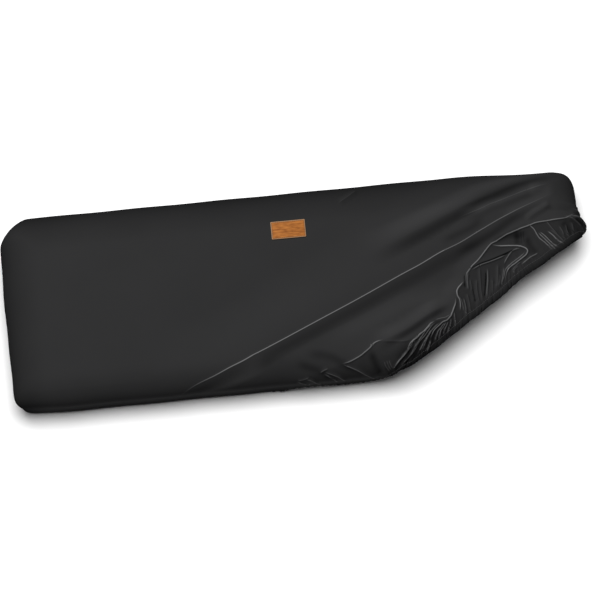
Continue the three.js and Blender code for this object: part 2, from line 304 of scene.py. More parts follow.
MAIN = [(-236, -222), (-230, -207), (-223, -193), (-213, -174), (-198, -161), (-180, -152), (-153, -143),
        (-127, -134), (-100, -126), (-73, -116), (-37, -101), (35, -70), (107, -39), (180, -6), (217, 10),
        (254, 28), (290, 42), (328, 61), (365, 79), (402, 95), (440, 109), (461, 117)]
LONG_FOLDS = [
    Crease(6, 95, 23, 0, 0, 0.1, 0.25, 1.5, MAIN),
    Crease(0.8, 3, 3, 1, 0.9, 0, 0, 1, MAIN[2:] + [(470, 120)]),
    Crease(6.5, 42, 31, 0, 0, 0.3, 0.45, 0.4, [
        (116, 34), (152, 47), (188, 61), (224, 75), (261, 91), (298, 106), (335, 120), (372, 130), (409, 139),
        (446, 149), (490, 164)]),
    Crease(3, 14, 20, 0.2, 0.16, 0.45, 0, 0.7, [
        (290, 86), (314, 94), (333, 100), (351, 107), (369, 112), (388, 118), (406, 123), (425, 127),
        (443, 131), (462, 134)]),
    Crease(-0.3, 9, 9, 0, 0, 0, -0.6, 1, [
        (300, 90), (333, 100), (351, 107), (369, 112), (388, 118), (406, 123), (425, 127), (446, 131)]),
    Crease(-0.3, 12, 12, 0, 0, 0, -0.45, 1, [
        (362, 81), (384, 91), (403, 99), (421, 106), (440, 111), (462, 115)]),
    Crease(-0.3, 17, 17, 0, 0, 0, -0.4, 1, [(416, 125), (440, 124), (466, 121)]),
    Crease(2.5, 10, 10, 0, 0.03, 0.3, 0.15, 1, [(408, 70), (425, 82), (440, 90), (458, 100)]),
    Crease(5, 28, 14, 0.2, 0, 0.45, 0.1, 0.8, [
        (116, -124), (147, -116), (174, -106), (192, -97), (211, -86), (229, -77), (247, -69), (264, -62)]),
    Crease(-0.3, 30, 30, 0, 0, 0, -0.35, 1, [
        (20, -112), (72, -95), (120, -78), (160, -62), (194, -51), (229, -47), (264, -36), (288, -20),
        (300, -8)]),
    Crease(-0.5, 17, 17, 0, 0, 0, -0.75, 1, [
        (-185, -182), (-150, -164), (-120, -152), (-85, -138), (-58, -127)]),
    Crease(1.2, 8, 10, 0.5, 0.06, 0.15, 0.1, 1, [(88, 134), (106, 144), (124, 157)]),
]
VALLEYS = alike(
    -2, 13, 13, 0, 0, 0, 0.55,
    [(272, 19), (298, 28), (316, 35), (335, 45), (353, 54), (372, 66), (391, 77), (410, 84), (430, 93)],
) + alike(
    -1, 15, 15, 0, 0, 0, 0.28,
    [(286, 89), (315, 101), (334, 111), (352, 116), (371, 122), (389, 127), (408, 132), (430, 138)],
) + alike(
    -1, 11, 12, 0, 0, 0, 0.4,
    [(256, 43), (274, 51), (292, 58), (311, 65), (330, 76), (345, 85)],
    [(148, -117), (168, -114), (187, -105), (205, -96), (223, -86), (242, -76), (260, -69), (268, -58)],
    [(0, -124), (15, -127), (32, -130), (49, -135), (63, -143), (80, -155), (95, -170)],
    [(-18, -137), (-4, -142), (13, -149), (24, -154), (40, -164), (55, -180)],
)
print("long folds:", len(LONG_FOLDS), "and valleys:", len(VALLEYS))

# %% Edges and pleats below the fold
FOLD_EDGES = alike(
    1.7, 3.6, 3, 1, 0.8, 0.05, 0.3,
    [(293, -39), (293, -25), (295, -16), (299, -11), (305, -4), (315, 4), (322, 11), (332, 22), (342, 32),
     (352, 37), (361, 42), (371, 47), (380, 50), (398, 56), (413, 60), (427, 64), (451, 66), (466, 68),
     (476, 71), (484, 76), (498, 86)],
    [(219, -124), (223, -115), (229, -107), (237, -101), (244, -96), (251, -94), (258, -88), (261, -83),
     (265, -75), (269, -66), (271, -56)],
    [(275, -81), (277, -71), (277, -61), (274, -54), (274, -46), (277, -40), (282, -35), (288, -29)],
) + alike(
    1.5, 3, 2.4, 1, 0.75, 0.05, 0.5,
    [(64, -145), (79, -142), (96, -136), (106, -131), (115, -126), (122, -121), (130, -118), (140, -117)],
    [(150, -162), (160, -150), (170, -142), (179, -135)],
    [(177, -136), (183, -127), (189, -123), (197, -119), (202, -114), (210, -109), (217, -103), (223, -97),
     (232, -93)],
) + alike(
    1.2, 4, 4, 0.8, 0.3, 0.1, 0.2,
    [(26, -156), (33, -152), (40, -150)], [(-14, -168), (-4, -166), (7, -162)],
    [(231, -92), (241, -90), (250, -89), (259, -85)],
    [(282, -82), (282, -77), (281, -68), (279, -60), (275, -54)],
)
SKIRT_CREASES = alike(
    1.8, 5, 5, 0.8, 0.45, 0.3, 0.4,
    [(64, -145), (78, -151), (91, -158), (102, -167), (113, -178), (124, -194)],
    [(34, -155), (47, -161), (59, -169), (71, -186)], [(32, -159), (46, -169), (56, -186)],
    [(-1, -166), (11, -171), (28, -193)], [(-15, -171), (-3, -179), (11, -199)],
) + alike(
    1.2, 3, 3, 0.5, 0.2, 0.2, 0.3,
    [(137, -147), (139, -155), (146, -167)], [(141, -146), (144, -156), (149, -165)],
    [(145, -146), (148, -155), (151, -161)],
) + alike(
    0.7, 3, 3, 0.5, 0.06, 0, 0.2, [(136, -119), (158, -121), (174, -122), (188, -121)],
) + alike(
    -3, 10, 10, 0, 0, 0, 0.5, [(112, -130), (120, -142), (126, -160), (132, -182)],
)
PINCH_PLEATS = alike(
    1.7, 2.4, 2.2, 0.9, 0.42, 0.05, 0.9,
    [(177, -146), (185, -140), (193, -132), (201, -124), (209, -118), (217, -109), (225, -100), (234, -95)],
    [(194, -141), (201, -134), (208, -126), (214, -120), (222, -110), (231, -102), (241, -96)],
    [(187, -135), (195, -128), (203, -120), (209, -113), (215, -106), (227, -96)],
    [(226, -127), (230, -119), (234, -111), (240, -105), (247, -97)],
    [(233, -125), (236, -118), (239, -110), (245, -103), (250, -96)],
    [(242, -118), (245, -110), (250, -102), (253, -96)],
    [(200, -140), (205, -133), (211, -125), (217, -117), (224, -108)],
    [(250, -116), (253, -108), (257, -99), (258, -91)],
    [(264, -106), (265, -100), (265, -90), (265, -81)],
    [(211, -139), (216, -131), (221, -123)],
) + alike(
    1.4, 2.4, 2.2, 0.9, 0.3, 0.2, 0.6,
    [(173, -141), (183, -130), (189, -124), (199, -117), (210, -110)],
    [(156, -156), (164, -147), (173, -139), (183, -132), (190, -126)],
    [(164, -157), (172, -150), (182, -142), (190, -133), (198, -124)],
)
print("edges and pleats below the fold:", len(FOLD_EDGES + SKIRT_CREASES + PINCH_PLEATS))

# %% Pleats of the lifted strip
UPRIGHT_PLEATS = alike(
    1.8, 3.2, 3, 0.6, 0.3, 0.35, 0.4,
    [(294, -46), (294, -34), (295, -24), (297, -14)], [(324, -63), (327, -46), (330, -30), (332, -8)],
    [(351, -42), (357, -26), (361, -10)], [(285, -90), (286, -74), (284, -58)],
) + alike(
    1.2, 4, 3, 0.4, 0.1, 0.3, 0.3,
    [(303, -70), (302, -55), (300, -42), (299, -24)], [(317, -66), (316, -43), (318, -4)],
    [(343, -48), (347, -29), (351, -2)], [(311, -68), (309, -46), (311, -26)],
    [(335, -56), (337, -42), (338, -30)], [(294, -84), (293, -66), (291, -50)],
    [(346, -44), (351, -32), (354, -22)],
) + alike(
    -2.5, 3, 3, 0.3, -0.5, 0, 0.4,
    [(321, -62), (325, -42), (328, -28), (330, -12)], [(290, -42), (290, -29), (292, -16)],
    [(304, -68), (303, -55), (302, -42)],
)
FLAP_CREASES = alike(
    2, 3.6, 4.4, 0.9, 0.95, -0.1, -0.2,
    [(341, 34), (348, 30), (358, 28), (375, 27), (388, 26), (396, 24), (403, 20), (405, 15), (401, 9),
     (392, 3), (381, -4), (371, -10), (365, -17), (362, -25), (360, -35)],
) + alike(
    1.6, 3, 3, 0.8, 0.5, 0.3, 0.4,
    [(394, 22), (383, 20), (376, 16), (369, 8), (364, 1), (361, -5)],
    [(401, 18), (397, 11), (387, 4), (377, -2), (368, -9), (362, -15), (359, -25), (355, -35)],
    [(424, 12), (419, 9), (408, 4), (399, -2), (391, -7)], [(412, 3), (408, 0), (398, -6)],
    [(303, -11), (319, -3), (337, 2), (356, 8), (368, 13)],
) + alike(
    1, 2.4, 2.4, 0.8, 0.25, 0.2, 0.3,
    [(392, -1), (381, -9), (374, -17)], [(386, -8), (379, -14), (374, -22)],
) + alike(
    2.5, 16, 2.4, 1, -0.9, 0.1, 1,
    [(301, -8), (320, 0), (338, 5), (356, 11), (367, 15), (378, 19), (387, 22)],
)
POCKETS = alike(
    -2, 9, 9, 0, 0, 0, 0.45,
    [(346, 34), (366, 40), (380, 43), (396, 43), (416, 48)], [(393, 56), (391, 41), (391, 24)],
    [(406, 44), (411, 28), (416, 17), (426, 4)], [(468, 64), (478, 50), (488, 36)],
) + alike(
    -0.5, 23, 23, 0, 0, 0, 0.9, [(150, -160), (172, -146), (200, -131), (226, -114), (250, -103), (270, -88)],
) + alike(
    -0.8, 2, 2, 0.5, -0.2, 0, 0.2, [(398, 53), (398, 40), (397, 27)], [(402, 30), (402, 42), (403, 52)],
)
RIGHT_PLEATS = alike(
    1.6, 2.4, 2.4, 0.8, 0.7, 0.2, 0.5,
    [(450, 13), (445, 19), (437, 28), (429, 36), (425, 43), (421, 52), (416, 58), (410, 63)],
    [(456, 14), (451, 19), (444, 27), (438, 34), (432, 41), (427, 47)],
    [(459, 17), (454, 22), (446, 30), (439, 39), (430, 48)],
    [(468, 23), (463, 27), (458, 32), (453, 39), (444, 48)],
) + alike(
    1.4, 2.6, 2.6, 0.6, 0.2, 0.2, 0.4,
    [(470, 26), (465, 31), (459, 40), (450, 50)],
    [(460, 40), (457, 45), (451, 54), (444, 65)], [(469, 31), (468, 38), (467, 45), (463, 55)],
    [(475, 34), (474, 47), (473, 60)], [(484, 36), (485, 49), (483, 64)], [(500, 65), (495, 70), (484, 76)],
) + alike(
    8, 5, 5, 0.6, 0.2, 0.4, 0.5, [(512, 46), (494, 60), (474, 74)],
) + alike(
    2.5, 7, 7, 0.6, 0.2, 0.4, 0.5, [(562, 66), (524, 82), (488, 92)],
) + alike(
    11, 6.5, 6.5, 0.6, 0.2, 0.4, 0.5, [(536, 48), (510, 63), (480, 76)],
)
CREASES = (LONG_FOLDS + VALLEYS + FOLD_EDGES + SKIRT_CREASES + PINCH_PLEATS + UPRIGHT_PLEATS + FLAP_CREASES
           + POCKETS + RIGHT_PLEATS)
print("creases placed by hand:", len(CREASES))

# %% Shape of a crease
SAMPLE_STEP = 2.0
SOFT_FADE, SHARP_FADE, SHARP_FADE_MOST = 0.27, 0.18, 130
# Half the width of the thin painted highlight along a crest.
PAINTED_LINE_HALF = 0.8


def crease_line(crease):
    """Points close together along a crease, and the directions to its left."""
    ends = np.array(crease.points, float)
    walk = walk_along(curve_at(ends, FINE))
    even = np.linspace(0, walk[-1], int(walk[-1] / SAMPLE_STEP) + 2)
    line = curve_at(ends, np.interp(even, walk, FINE))
    heading = unit(np.gradient(line, axis=0))
    return line, np.stack([-heading[:, 1], heading[:, 0]], axis=1)


def crease_effect(plan, crease):
    """The points of the plan that one crease reaches, and the height, painted highlight line and painted
    light and shade that it adds there.
    """
    line, leftward = crease_line(crease)
    reach = max(crease.left, crease.right)
    near = np.flatnonzero(((plan > line.min(axis=0) - reach) & (plan < line.max(axis=0) + reach)).all(axis=1))
    if len(near) == 0:
        return near, 0, 0, 0
    number, _ = nearest(plan[near], line)
    offset = plan[near] - line[number]
    side = (leftward[number] * offset).sum(axis=1)
    ahead = leftward[number, 1] * offset[:, 0] - leftward[number, 0] * offset[:, 1]
    length = SAMPLE_STEP * (len(line) - 1)
    share = np.clip((number * SAMPLE_STEP + ahead) / length, 0, 1)
    fade_way = min(SHARP_FADE, SHARP_FADE_MOST / length) if crease.line else SOFT_FADE
    fade = smooth(share, 0, fade_way) * smooth(1 - share, 0, fade_way)
    slim = 1 + (crease.narrow - 1) * share
    flank = np.clip(1 - np.abs(side) / (np.where(side > 0, crease.left, crease.right) * slim), 0, 1)
    profile = crease.sharp * flank ** 2 + (1 - crease.sharp) * smooth(flank)
    slope = crease.sharp * flank ** 2 + (1 - crease.sharp) * 4 * flank * (1 - flank)
    # Painted light on the left flank, and painted shade on the right flank or in a trough.
    flank_painted_shade = np.where(side > 0, crease.pale, -crease.dark)
    shade = flank_painted_shade * slope if crease.height > 0 else -crease.dark * profile
    # The line along the crest is a painted highlight, or a painted shadow line where it is negative.
    painted_line = crease.line * np.clip(1 - np.abs(side) / PAINTED_LINE_HALF, 0, 1)
    return near, crease.height * fade * profile, fade * painted_line, fade * shade


print("a soft crease fades over", SOFT_FADE, "of its length, a sharp one over", SHARP_FADE)

# %% [markdown]
# ## Hem band
# The edge of the cover is a ring of columns, each running in from the hem, and rows cross them. That gives
# neat quads where the elastic draws the cloth into fine ruffles, and the columns lie close together along the
# lifted edge. Everything inside the ring is filled with triangles afterwards.

# %% Ring of columns
LIFTED_STEP, EDGE_STEP, CORNER_COUNT = 1.3, 6.0, 24
INNER_CORNER = 20
CORNER_LIP_EASE = 14
BAND, LIFTED_BAND = ROLL_ARC + LIP_WIDTH, 20.0
BAND_BLEND = (0.12, 0.06)
BAND_ROWS = np.array([1, 0.8, 0.64, 0.52, 0.42, 0.34, 0.28, 0.22, 0.16, 0.1, 0.06, 0.03, 0.012, 0])
INSET = CORE - INNER_CORNER


def lifted_columns():
    walk = walk_along(hem_at(FINE))
    share = np.interp(np.linspace(0, walk[-1], int(walk[-1] / LIFTED_STEP)), walk, FINE)
    return fold_at(share), hem_at(share), share


def straight_columns(start, end, out):
    start, end = np.array(start, float), np.array(end, float)
    count = int(np.linalg.norm(end - start) / EDGE_STEP)
    inner = start + np.linspace(0, 1, count, endpoint=False)[:, None] * (end - start)
    return inner, inner + TO_HEM * np.array(out), np.full(count, np.nan)


def corner_columns(sign, start_angle):
    sign = np.array(sign)
    angle = start_angle + np.linspace(0, math.pi / 2, CORNER_COUNT, endpoint=False)
    heading = np.stack([np.cos(angle), np.sin(angle)], axis=1)
    power = corner_power(sign[None, :])
    squared = sign * np.abs(heading) ** (2 / power)
    ease = CORNER_LIP_EASE * np.abs(np.sin(2 * angle))[:, None]
    hem = sign * CORE + squared * (TO_HEM - ease)
    return sign * INSET + INNER_CORNER * heading, hem, np.full(CORNER_COUNT, np.nan)


def ring_columns():
    parts = [
        lifted_columns(),
        corner_columns((1, 1), 0),
        straight_columns((INSET[0], CORE[1]), (-INSET[0], CORE[1]), (0, 1)),
        corner_columns((-1, 1), math.pi / 2),
        straight_columns((-CORE[0], INSET[1]), (-CORE[0], -INSET[1]), (-1, 0)),
        corner_columns((-1, -1), math.pi),
        straight_columns((-INSET[0], -CORE[1]), (LIFTED[0].hem[0], -CORE[1]), (0, -1)),
    ]
    return (np.concatenate(values) for values in zip(*parts))


def band_points():
    """Points of the band, row after row from its inner edge to the hem, and their distances from the hem."""
    inward = unit(column_start - column_hem)
    share = np.nan_to_num(column_share)
    narrow = smooth(share, 0, BAND_BLEND[0]) * smooth(1 - share, 0, BAND_BLEND[1])
    width = BAND + (LIFTED_BAND - BAND) * narrow
    away = BAND_ROWS[:, None] * width
    return column_hem + away[:, :, None] * inward, away


column_start, column_hem, column_share = ring_columns()
band_plan, band_away = band_points()
ring = band_plan[0]
ring_count = len(ring)
print("ring:", ring_count, "columns of", len(BAND_ROWS), "rows")

# %% [markdown]
# ## Points inside the ring
# Inside the ring the points lie on hexagonal grids, fine beside the creases and coarse where the cloth is
# flat. Each crease also has a row of points along its crest, and one with a painted highlight line has a row
# close on each side, so that its edge stays sharp and its painted line thin. Delaunay triangulation joins
# them all.

# %% Inner points
GRIDS = [(2.0, 0, 4), (3.2, 4, 16), (6.0, 16, 60), (11.0, 60, 2000)]
CLEARANCE = 0.62
CREST_GAP = 0.7
EDGE_FINENESS = 30


def inside_loop(points, loop):
    """Whether each point lies inside a closed loop."""
    crossings = np.zeros(len(points), int)
    for (x0, y0), (x1, y1) in zip(loop, np.roll(loop, -1, axis=0)):
        if y1 != y0:
            spans = (y0 > points[:, 1]) != (y1 > points[:, 1])
            crossings += spans & (points[:, 0] < x0 + (points[:, 1] - y0) * (x1 - x0) / (y1 - y0))
    return crossings % 2 == 1


def hexagonal_grid(step, low, high):
    rows = np.arange(low[1], high[1], step * math.sqrt(3) / 2)
    columns = np.arange(low[0], high[0], step)
    x, y = np.meshgrid(columns, rows)
    x = x + step / 2 * (np.arange(len(rows)) % 2)[:, None]
    return np.stack([x.ravel(), y.ravel()], axis=1)


def thinned(points, gap):
    """The points, without those that lie closer than a gap to one before them."""
    kept, cells = [], {}
    for x, y in points.tolist():
        column, row = int(x // gap), int(y // gap)
        around = [(column + i, row + j) for i in (-1, 0, 1) for j in (-1, 0, 1)]
        near = [place for cell in around for place in cells.get(cell, ())]
        if all(math.hypot(x - other_x, y - other_y) > gap for other_x, other_y in near):
            cells.setdefault((column, row), []).append((x, y))
            kept.append((x, y))
    return np.array(kept)


def crest_points():
    """Points along every crest, then along both sides of those with a thin painted highlight line."""
    crests, sides = [], []
    for crease in CREASES:
        line, leftward = crease_line(crease)
        crests.append(line)
        if crease.line:
            sides += [line + PAINTED_LINE_HALF * leftward, line - PAINTED_LINE_HALF * leftward]
    points = thinned(np.concatenate(crests + sides), CREST_GAP)
    points = points[inside_loop(points, ring)]
    return points[nearest(points, ring)[1] > CREST_GAP]


def inner_points():
    found = [crest_points()]
    guides = np.concatenate([found[0], ring[~np.isnan(column_share)]])
    for step, low, high in GRIDS:
        box = guides if high < EDGE_FINENESS else ring
        grid = hexagonal_grid(step, box.min(axis=0) - step, box.max(axis=0) + step)
        away = nearest(grid, guides)[1]
        over = past_edge(grid)[1][:, 0]
        away = np.where(over > SHOULDER_ARC / 4, np.minimum(away, EDGE_FINENESS), away)
        grid = grid[(away >= low) & (away < high)]
        grid = grid[inside_loop(grid, ring)]
        taken = np.concatenate([*found, ring])
        found.append(grid[nearest(grid, taken)[1] > step * CLEARANCE])
    return np.concatenate(found)


inner_plan = inner_points()
print("points inside the ring:", len(inner_plan))

# %% [markdown]
# ## Heights and painted shading
# A point's height above the smooth cover is a sum: the crest of the lifted fold, every crease, fine ruffles
# drawn in by the elastic near the hem, and a slight unevenness that no stretched cloth is free of. Its
# painted light and shade is a sum too. Painted shade darkens the gathered hem and the back and left edges,
# and the front wall has painted light and shade of its own on the way from its shoulder down to the hem.

# %% Ruffles
Ruffle = namedtuple("Ruffle", "pitch height start")
RUFFLES = [Ruffle(13.0, 0.9, 0.4), Ruffle(7.3, 0.8, 0.6), Ruffle(5.1, 0.7, 0.72)]
RUFFLE_SHARPNESS, RUFFLE_GROWTH = 1.5, 0.22
Sway = namedtuple("Sway", "turn spread phase")
DRIFTS, LEAN = [Sway(1.9, 3.1, 1), Sway(1.3, 1.27, 2)], Sway(2.2, 4.3, 1.7)
EDGE_RUFFLE, LIFTED_RUFFLE, EDGE_STRETCH = 0.5, 0.8, 3.0


def sway(kind, walk, number):
    """A slow swing of one set of ruffles, to the side and back along the hem."""
    return kind.turn * np.sin(walk / (kind.spread * RUFFLES[number].pitch) + kind.phase * number)


def ruffle_rise(walk, way):
    """Fine ruffles at a walk along the hem in millimetres and a share of the way to it."""
    total = np.zeros(len(walk))
    for number, (pitch, height, start) in enumerate(RUFFLES):
        drift = sum(sway(kind, walk, number) for kind in DRIFTS)
        angle = 2 * math.pi * walk / pitch + drift + (way - 1) * sway(LEAN, walk, number)
        pleat = (0.5 + 0.5 * np.sin(angle)) ** RUFFLE_SHARPNESS
        total += height * pleat * smooth(way, start, start + RUFFLE_GROWTH)
    return total


def edge_rise(numbers):
    """Ruffles at the points of the band with those numbers, where the hem isn't lifted."""
    walk = np.tile(walk_along(column_hem), len(BAND_ROWS))[numbers] / EDGE_STRETCH
    return EDGE_RUFFLE * ruffle_rise(walk, 1 - band_away.ravel()[numbers] / BAND)


print("ruffles at the hem:", [ruffle.pitch for ruffle in RUFFLES], "mm apart")

# %% Creases, unevenness and the lifted fold
UNEVEN_HEIGHT, UNEVEN_ALONG, UNEVEN_ACROSS = 0.7, 148, 92
STRIP_FALL, FULL_CREST = 1.2, 6


def crease_sums(plan):
    """Height, painted highlight line and painted light and shade of all the creases together."""
    height, line, painted_light_and_shade = np.zeros((3, len(plan)))
    for crease in CREASES:
        near, more, painted_line, shade = crease_effect(plan, crease)
        height[near] += more
        line[near] = np.maximum(line[near], painted_line)
        # A negative line is a thin painted shadow line, so it is added to the painted shade.
        painted_light_and_shade[near] += shade + np.minimum(painted_line, 0)
    return height, line, painted_light_and_shade


def uneven_rise(plan):
    over = np.maximum((np.abs(plan) - CORE).max(axis=1), 0)
    share = smooth(over, 0, SHOULDER_ARC) - smooth(over, TO_HEM - 2 * LIP_WIDTH, TO_HEM)
    waves = np.sin(2 * math.pi * plan[:, 0] / UNEVEN_ALONG) + np.sin(2 * math.pi * plan[:, 1] / UNEVEN_ACROSS)
    return UNEVEN_HEIGHT * share * waves / 2


def fold_rise(plan):
    """Height on the top's side of the lifted fold."""
    number, away = nearest(plan, fold_at(FINE))
    return crest_at(FINE)[number] * np.clip(1 - away / CREST_REACH, 0, 1) ** 2


def lifted_place(plan):
    """Share of the lifted edge, and of the way from its fold to its hem, at points of the lifted strip."""
    at_fold, from_fold = nearest(plan, fold_at(FINE))
    at_hem, from_hem = nearest(plan, hem_at(FINE))
    way = from_fold / np.maximum(from_fold + from_hem, 1e-6)
    return FINE[at_fold] * (1 - way) + FINE[at_hem] * way, way


def lifted_rise(share, way):
    """Height on the lifted strip: the crest falls away to the ruffled hem."""
    crest = crest_at(share)
    walk = np.interp(share, FINE, walk_along(hem_at(FINE)))
    ruffled = np.clip(crest / FULL_CREST, LIFTED_RUFFLE, 1) * ruffle_rise(walk, way)
    return crest * (1 - way) ** STRIP_FALL + ruffled


print("the lifted fold is felt", CREST_REACH, "mm into the top")

# %% Painted shading
# Painted shade: the lifted strip is darker, most of all in the gathers beside its hem.
HEM_PAINTED_SHADE, HEM_PAINTED_SHADE_WIDTH = 0.75, 20
STRIP_PAINTED_SHADE = 0.08
# Painted shade over the back and left edges, and painted light and shade down the front wall.
BACK_PAINTED_SHADE, BACK_EASE, LEFT_PAINTED_SHADE, EDGE_SHADE_START = 1.0, 0.5, 0.85, -22
FRONT_WAYS, FRONT_PAINTED_SHADING = (5, 22, 42, 57, 66, 88, 115), (0, -0.12, -0.12, 0.15, 0.05, -0.4, -0.9)
CORNER_EASE = 50


def strip_painted_shade(plan, share):
    """Painted shade of the lifted strip, darkest in the gathers beside its hem."""
    near_hem = 1 - smooth(nearest(plan, hem_at(FINE))[1], 0, HEM_PAINTED_SHADE_WIDTH)
    return -smooth(crest_at(share), 0, FULL_CREST) * (STRIP_PAINTED_SHADE + (HEM_PAINTED_SHADE - STRIP_PAINTED_SHADE) * near_hem)


def wall_painted_shading(plan):
    """Painted shade over the back and left edges, and painted light and shade on the way down the front wall.
    """
    over_back, over_left = (smooth(way, EDGE_SHADE_START, SHOULDER_ARC)
                            for way in (plan[:, 1] - CORE[1], -plan[:, 0] - CORE[0]))
    back_painted_shade = BACK_PAINTED_SHADE * (1 - BACK_EASE * smooth(plan[:, 0], CORE[0] / 2, CORE[0]))
    beside_corner = 1 - smooth(-plan[:, 0] - CORE[0], -CORNER_EASE, CORNER_EASE)
    front_painted_shading = beside_corner * np.interp(-plan[:, 1] - CORE[1], FRONT_WAYS, FRONT_PAINTED_SHADING)
    return front_painted_shading - np.maximum(back_painted_shade * over_back, LEFT_PAINTED_SHADE * over_left)


print("the front wall has tones from", max(FRONT_PAINTED_SHADING), "to", min(FRONT_PAINTED_SHADING))

# %% Middle of the cloth
QUIET_FROM, QUIET_TO, QUIET_SHARE = 0.8, 0.95, 0.5


def whole_plan():
    """All points of the plan, and whether each lies on the lifted strip."""
    plan = np.concatenate([band_plan.reshape(-1, 2), inner_plan])
    loop = np.concatenate([fold_at(FINE), hem_at(FINE)[::-1]])
    in_band = np.tile(~np.isnan(column_share), len(BAND_ROWS))
    lifted = np.concatenate([in_band, inside_loop(inner_plan, loop)])
    return plan, lifted


def cloth_heights(plan, lifted):
    """Height, painted highlight line and painted light and shade of the cloth at the points of the plan.
    Creases grow quieter towards the hem.
    """
    height, line, painted_light_and_shade = crease_sums(plan)
    share, way = lifted_place(plan[lifted])
    quiet = 1 - QUIET_SHARE * smooth(way, QUIET_FROM, QUIET_TO)
    height[lifted] = height[lifted] * quiet + lifted_rise(share, way)
    line[lifted] *= quiet
    painted_light_and_shade[lifted] += strip_painted_shade(plan[lifted], share)
    height[~lifted] += fold_rise(plan[~lifted])
    plain = np.flatnonzero(~lifted[:band_away.size])
    height[plain] += edge_rise(plain)
    return height + uneven_rise(plan), np.clip(line, 0, 1), np.clip(painted_light_and_shade + wall_painted_shading(plan), -1, 1)


plan, lifted = whole_plan()
rise, painted_crest_highlight, painted_light_and_shade = cloth_heights(plan, lifted)
middle = let_down(plan) + rise[:, None] * outward(plan)
print("middle of the cloth:", len(middle), "points, highest", round(middle[:, 2].max(), 1), "mm")

# %% [markdown]
# ## Faces
# The band is a grid, so its faces come from counting. The rest is triangulated inside the ring. Then the
# middle of the cloth is set off to both sides, a little thicker at the turned hem, and the two sides are
# joined along the edge, which makes one closed sheet.

# %% Faces of the sheet
def grid_faces(columns, rows):
    row, column = np.divmod(np.arange(columns * (rows - 1)), columns)
    after = (column + 1) % columns
    inner, outer = row * columns, (row + 1) * columns
    return np.stack([inner + column, outer + column, outer + after, inner + after], axis=1)


def inner_faces(first_inner):
    """Triangles between the ring, whose points are numbered from 0, and the points inside it."""
    places = [Vector(place) for place in ring] + [Vector(place) for place in inner_plan]
    loop = [(number, (number + 1) % ring_count) for number in range(ring_count)]
    _, _, faces, origins, _, _ = delaunay_2d_cdt(places, loop, [], 1, 1e-5)
    origin = np.array([sources[0] for sources in origins])
    numbers = np.where(origin < ring_count, origin, origin - ring_count + first_inner)
    return numbers[np.array(faces)]


quads = grid_faces(ring_count, len(BAND_ROWS))
triangles = inner_faces(band_away.size)
print("faces of one side:", len(quads), "quads and", len(triangles), "triangles")

# %% Closed sheet
OUTER, INNER = 1.0, 0.2
HEM_WIDTH, HEM_SWELL, HEM_ROUND, HEM_EDGE = 13.0, 0.9, 2.2, 0.04
FAR_FROM_HEM = 1000.0


def facing(points):
    """Smooth normals of the middle of the cloth."""
    normal = np.zeros_like(points)
    for corners in (quads[:, [0, 1, 2]], quads[:, [0, 2, 3]], triangles):
        first, second, third = points[corners.T]
        area = np.cross(second - first, third - first)
        for corner in corners.T:
            np.add.at(normal, corner, area)
    return unit(normal)


def way_to_hem(points):
    """Distance along the cloth from each point of the band to the hem."""
    grid = points[:band_away.size].reshape(*band_away.shape, 3)
    steps = np.linalg.norm(np.diff(grid, axis=0), axis=2)
    return np.concatenate([np.cumsum(steps[::-1], axis=0)[::-1], np.zeros((1, ring_count))])


def half_thickness(distance):
    """Swell of the turned hem, and the rounding of its edge, at a distance from the edge."""
    swell = HEM_SWELL * np.sqrt(np.clip(np.sin(math.pi * np.clip(distance / HEM_WIDTH, 0, 1)), 0, 1))
    edge = np.sqrt(np.clip(1 - (1 - np.clip(distance / HEM_ROUND, 0, 1)) ** 2, HEM_EDGE, 1))
    return swell, edge


normal = facing(middle)
hem_distance = way_to_hem(middle)
swell, edge = half_thickness(np.concatenate([hem_distance.ravel(), np.full(len(inner_plan), FAR_FROM_HEM)]))
outside = middle + normal * ((OUTER + swell) * edge)[:, None]
inside = middle - normal * ((INNER + swell) * edge)[:, None]
print("hem:", HEM_WIDTH, "mm wide,", OUTER + INNER + 2 * HEM_SWELL, "mm thick")

# %% Cover mesh
def mesh_piece(name, points, faces):
    """A new object from points in millimetres and lists of their numbers."""
    mesh = bpy.data.meshes.new(name)
    mesh.from_pydata((np.asarray(points) * MM).tolist(), [], faces)
    mesh.validate()
    mesh.polygons.foreach_set("use_smooth", [True] * len(mesh.polygons))
    piece = bpy.data.objects.new(name, mesh)
    bpy.context.scene.collection.objects.link(piece)
    return piece


def keep_values(piece, name, values):
    """Keep one number for each point on a mesh, for its finish to read."""
    attribute = piece.data.attributes.new(name, "FLOAT", "POINT")
    attribute.data.foreach_set("value", np.asarray(values, np.float32))


def cover_faces():
    count = len(middle)
    rim = (len(BAND_ROWS) - 1) * ring_count + np.arange(ring_count)
    after = np.roll(rim, -1)
    sides = [quads, quads[:, ::-1] + count, np.stack([after, rim, rim + count, after + count], axis=1)]
    tops = [triangles, triangles[:, ::-1] + count]
    return [face for part in sides + tops for face in part.tolist()]


cover = mesh_piece("cover_cloth", np.concatenate([outside, inside]), cover_faces())
# A painted highlight along the crests, then painted light and shade, are kept on the mesh for the knit
# finish.
keep_values(cover, "crest", np.concatenate([painted_crest_highlight, 0 * painted_crest_highlight]))
keep_values(cover, "painted_light_and_shade", np.concatenate([painted_light_and_shade, painted_light_and_shade]))
spread = cover.data.attributes.new("spread", "FLOAT_VECTOR", "POINT")
flat_plan = np.hstack([plan, np.zeros((len(plan), 1))])
spread.data.foreach_set("vector", np.concatenate([flat_plan, flat_plan]).astype(np.float32).ravel() * MM)
print("cover:", len(cover.data.vertices), "points,", len(cover.data.polygons), "faces")

# %% [markdown]
# ## Hem stitching
# The hem is turned over the elastic and sewn with one row of black stitches. Each stitch is a small spindle
# of thread that follows the cloth, made from rings of points in one joined mesh.

# %% Stitches
STITCH_LENGTH, STITCH_PITCH, THREAD_RADIUS, THREAD_SUNK = 2.7, 3.6, 0.32, 0.5
SPINDLE = [(-0.5, 0.25), (-0.32, 0.85), (0, 1), (0.32, 0.85), (0.5, 0.25)]
SPINDLE_SIDES = 6


